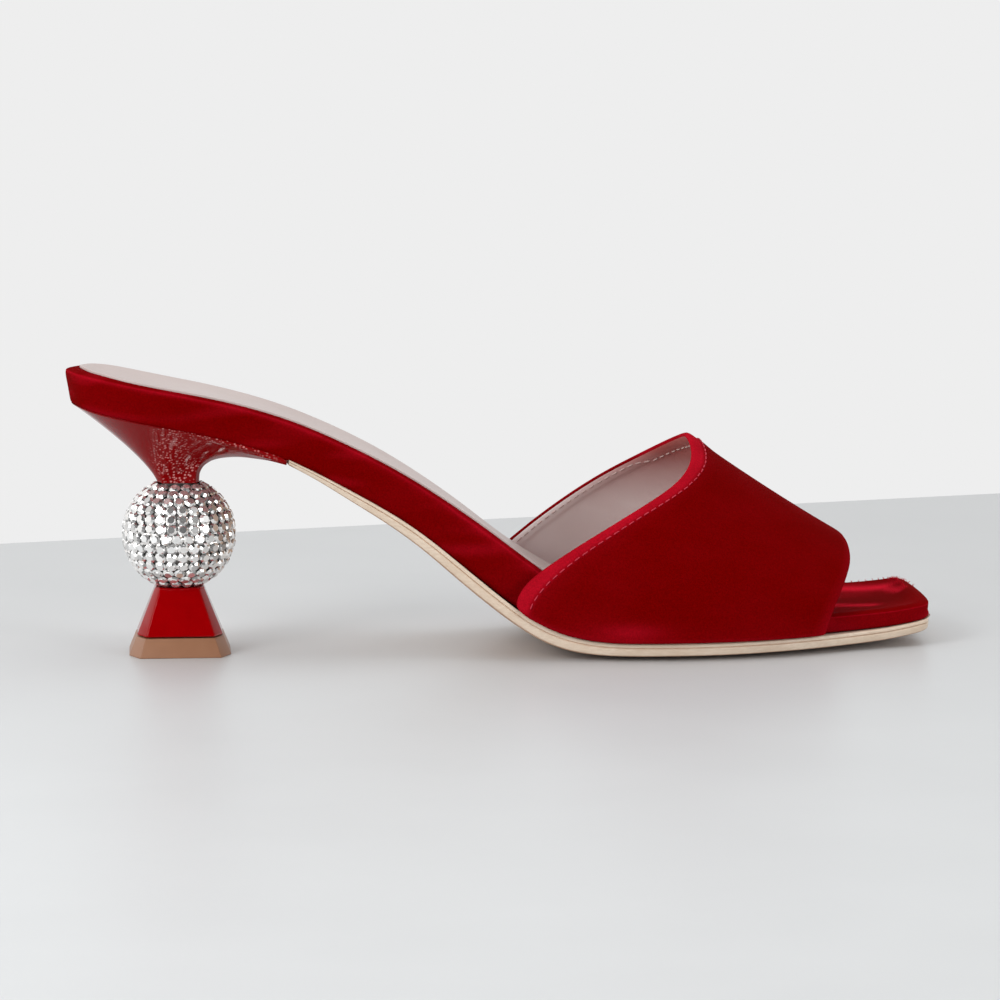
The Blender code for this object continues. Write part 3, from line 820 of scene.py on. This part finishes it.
def make_pile_tip():
    """One tuft of loose pile standing on +Z, bent over at its tip."""
    cone = bpy.ops.mesh.primitive_cone_add
    tip = add_form("pile_tip", cone, vertices=3, radius1=PILE_RADIUS, depth=PILE_LENGTH)
    open_below(tip)
    for point in tip.data.vertices:
        if point.co.z > 0:
            point.co.x += PILE_LENGTH * PILE_BEND
    return tip


def raise_pile(surface):
    """Loose pile along the far rim of the toe, where it stands out against the floor."""
    dice = random.Random(5)
    steep, level = PILE_FACING
    places = []
    for point in surface.data.vertices:
        on_rim = point.co.x > PILE_BACK and point.co.y > PILE_NEAR
        if on_rim and steep < point.normal.z < level:
            stray = Vector([dice.uniform(-0.5, 0.5) for axis in range(3)])
            forward = Vector([dice.uniform(-1, 1) for axis in range(3)])
            spot = point.co + point.normal * PILE_LIFT + stray * PILE_STRAY
            places.append(stand_on(spot, forward, point.normal + stray))
    pile = set_copies(make_pile_tip(), "toe_rim_pile", places)
    # The tufts are painted a light crimson, as painted sheen
    paint(pile, "lean_and_sheen", lambda point: PILE_SHEEN)
    finish_with(pile, "footbed_velvet", VELVET)
    return pile


def make_sock():
    sock = take_form("sock_lining", "sock_lining_leather")
    grow(sock, SOCK_SPREAD)
    crease(sock, 50, 1.0)
    subdivide(sock)
    soften(sock, SOCK_EDGE, 50, segments=2)
    finish_with(sock, "sock_leather", SOCK)
    smooth(sock, 50)
    return sock


def make_outsole():
    """The sole, with a waxed edge that has a groove in it."""
    sole = take_form("outsole", "outsole_leather")
    finish_with(sole, "sole_leather", SOLE_EDGE, SOLE_FACE)
    for face in sole.data.polygons:
        if face.normal.z < TREAD_FACING:
            face.material_index = 1
    crease(sole, 32, 0.85)
    subdivide(sole)
    smooth(sole, 60)
    return sole


# Heel


def glint(point):
    """Where the crystals throw their dots: on the neck's sides, fading towards its lip."""
    ahead = point.co.x - HEEL_CENTRE.x
    side = ramp(abs(point.normal.y), *GLINT_SIDE)
    return side * ramp(ahead, *GLINT_BACK) * ramp(ahead, *GLINT_LIP)


def make_neck():
    neck = take_form("heel_neck", "heel_neck_lacquered")
    crease(neck, 24, 0.8)
    crease(neck, 60, 1.0)
    finish_with(neck, "neck_lacquer", NECK_LACQUER)
    subdivide(neck)
    paint(neck, "glint", glint)
    smooth(neck)
    return neck


def make_block(node, name, slot, material, edge):
    """A flared block of the heel, its flat faces whole again and its edges softened."""
    block = take_form(node, name)
    edit(block)
    bpy.ops.mesh.dissolve_limited(angle_limit=math.radians(2))
    done()
    soften(block, edge, 15, segments=4, profile=0.6, harden_normals=True)
    finish_with(block, slot, material)
    smooth(block, 40)
    return block


def make_ball_core():
    """The bead under the crystals: the turned form drawn in, so that only its clay shows."""
    core = take_form("heel_ball", "ball_core")
    grow(core, -CORE_SINK)
    finish_with(core, "ball_crystal", CLAY)
    smooth(core)
    return core


def make_stone():
    """One round-cut crystal standing on +Z: girdle, ten crown facets, ten star facets, table."""
    cylinder = bpy.ops.mesh.primitive_cylinder_add
    radius = STONE * STONE_SPREAD / 2
    stone = add_form("stone", cylinder, vertices=10, radius=radius, depth=GIRDLE_DEPTH)
    open_below(stone)
    choose_faces(stone, lambda centre, normal: normal.z > 0.9)
    for inward, upward in CROWN_RINGS:
        bpy.ops.mesh.inset(thickness=STONE * inward, depth=STONE_RISE * upward)
    done()
    return stone


def flash(dice, facing):
    """How bright a facet's painted reflection is: dark at the girdle, and mostly bright over it."""
    if facing < GIRDLE_FACING:
        return dice.choice(GIRDLE_SHADES)
    return dice.choice(FACET_SHADES if facing < TABLE_FACING else TABLE_SHADES)


def make_stones():
    """Rows of crystals round the ball, each row set into the gaps of the one below."""
    dice = random.Random(11)
    places = []
    middle = Vector((HEEL_CENTRE.x, HEEL_CENTRE.y, BALL_CENTRE))
    radius = BALL_RADIUS - CORE_SINK + STONE_LIFT
    for row in range(STONE_ROWS):
        rise = math.radians(-STONE_REACH + 2 * STONE_REACH * row / (STONE_ROWS - 1))
        around = 2 * math.pi * (BALL_RADIUS - GIRDLE_SINK) * math.cos(rise)
        count = int(around / STONE)
        for i in range(count):
            turn = 2 * math.pi * (i + 0.5 * (row % 2)) / count
            ahead = Vector((-math.sin(turn), math.cos(turn), 0))
            level = Vector((math.cos(turn), math.sin(turn), 0))
            out = level * math.cos(rise) + Vector((0, 0, math.sin(rise)))
            tilt = Vector([dice.uniform(-STONE_TILT, STONE_TILT) for axis in range(3)])
            spun = Matrix.Rotation(dice.uniform(0, STONE_SPIN), 4, "Z")
            places.append(stand_on(middle + out * radius, ahead, out + tilt) @ spun)
    stones = set_copies(make_stone(), "ball_crystals", places)
    layer = stones.data.attributes.new("fire", "FLOAT_COLOR", "FACE")
    # Each facet is painted a bright or dark reflection, warmed a little at random
    shades = []
    for face in stones.data.polygons:
        value = flash(dice, face.normal.dot((face.center - middle).normalized()))
        warm = dice.uniform(0.0, STONE_WARMTH)
        shades += [value, value * (1 - warm * 0.4), value * (1 - warm), 1.0]
    layer.data.foreach_set("color", shades)
    finish_with(stones, "ball_crystal", CRYSTAL)
    smooth(stones, 5)
    return stones


vamp, vamp_lines = make_vamp()
sew("throat_stitches", vamp_lines["seam"], vamp, 0.35, THREAD)
sew("lining_stitches", vamp_lines["inside"], vamp, 0.2, PALE_THREAD)
raise_pile(make_footbed())
make_sock()
make_outsole()
make_neck()
make_block("heel_base", "heel_base_lacquered", "base_lacquer", BASE_LACQUER, BASE_EDGE)
make_block("top_lift", "top_lift_moulded", "lift_rubber", LIFT, LIFT_EDGE)
make_ball_core()
make_stones()


# Floor, light and camera


def make_floor():
    """A pale slab whose back edge lies behind the shoe, as in the photograph."""
    floor = add_form("stage_floor", bpy.ops.mesh.primitive_cube_add, size=1.0, location=(0, 0, 0))
    edit(floor)
    bpy.ops.transform.resize(value=FLOOR_SIZE)
    bpy.ops.transform.translate(value=FLOOR_PLACE)
    turn = math.radians(FLOOR_TURN)
    bpy.ops.transform.rotate(value=turn, orient_axis="Z", center_override=(0, 0, 0))
    done()
    floor.data.materials.append(honed_floor())
    return floor


def make_light(name, place, aim, size, power):
    """A white softbox, looking at a point."""
    data = bpy.data.lights.new(name, "AREA")
    data.shape = "RECTANGLE"
    data.size, data.size_y = size
    data.energy = power
    light = bpy.data.objects.new(name, data)
    light.location = place
    light.rotation_euler = (Vector(aim) - Vector(place)).to_track_quat("-Z", "Y").to_euler()
    bpy.context.scene.collection.objects.link(light)


def make_world():
    """Studio walls: white all round, but for the dark of the room over the camera."""
    world = bpy.data.worlds.new("studio")
    world.use_nodes = True
    bpy.context.scene.world = world
    tree = world.node_tree
    aim = add_node(tree, "ShaderNodeTexCoord").outputs["Generated"]
    facing = add_node(tree, "ShaderNodeVectorMath", {0: aim, 1: ROOM_SIDE}, operation="DOT_PRODUCT")
    room = add_node(
        tree,
        "ShaderNodeMapRange",
        {"Value": facing.outputs["Value"], "From Min": ROOM_EDGE, "From Max": ROOM_HEART},
    )
    shade = add_node(
        tree, "ShaderNodeMix", {0: room, 6: linear("#EEEEEE"), 7: linear("#1C1C1E")}, data_type="RGBA"
    )
    set_inputs(tree, tree.nodes["Background"], {"Color": shade.outputs[2]})


def make_camera():
    """The photograph's camera, which looks along +Y and a little down."""
    azimuth, elevation = math.radians(CAMERA_AZIMUTH), math.radians(CAMERA_ELEVATION)
    roll = math.radians(CAMERA_ROLL)
    forward = Vector((math.sin(azimuth), math.cos(azimuth), 0))
    ahead = forward * math.cos(elevation) - Vector((0, 0, math.sin(elevation)))
    level = Vector((math.cos(azimuth), -math.sin(azimuth), 0))
    above = level.cross(ahead)
    right = level * math.cos(roll) + above * math.sin(roll)
    up = above * math.cos(roll) - level * math.sin(roll)
    data = bpy.data.cameras.new("camera")
    data.lens = CAMERA_LENS
    data.clip_start = 0.05
    camera = bpy.data.objects.new("camera", data)
    place = CAMERA_AIM - ahead * CAMERA_DISTANCE
    turn = Matrix((right, up, -ahead)).transposed().to_4x4()
    camera.matrix_world = Matrix.Translation(place) @ turn
    bpy.context.scene.collection.objects.link(camera)
    bpy.context.scene.camera = camera


make_floor()
make_world()
make_light("overhead_softbox", (0.0, 0.05, 0.95), (0, 0, 0), (1.2, 0.9), 1.85)
make_light("left_softbox", (-0.8, -0.85, 0.35), (0, 0, 0.03), (0.5, 0.5), 4.4)
make_light("right_softbox", (0.75, -0.95, 0.35), (0, 0, 0.03), (0.5, 0.5), 4.2)
make_light("rim_softbox", (-0.7, 0.55, 0.4), (-0.05, 0, 0.05), (0.5, 0.5), 0.4)
make_light("throat_fill", (-0.5, -0.35, 0.45), (0.02, 0.02, 0.03), (0.25, 0.25), 1.5)
make_camera()
bpy.context.scene.view_settings.view_transform = "Standard"
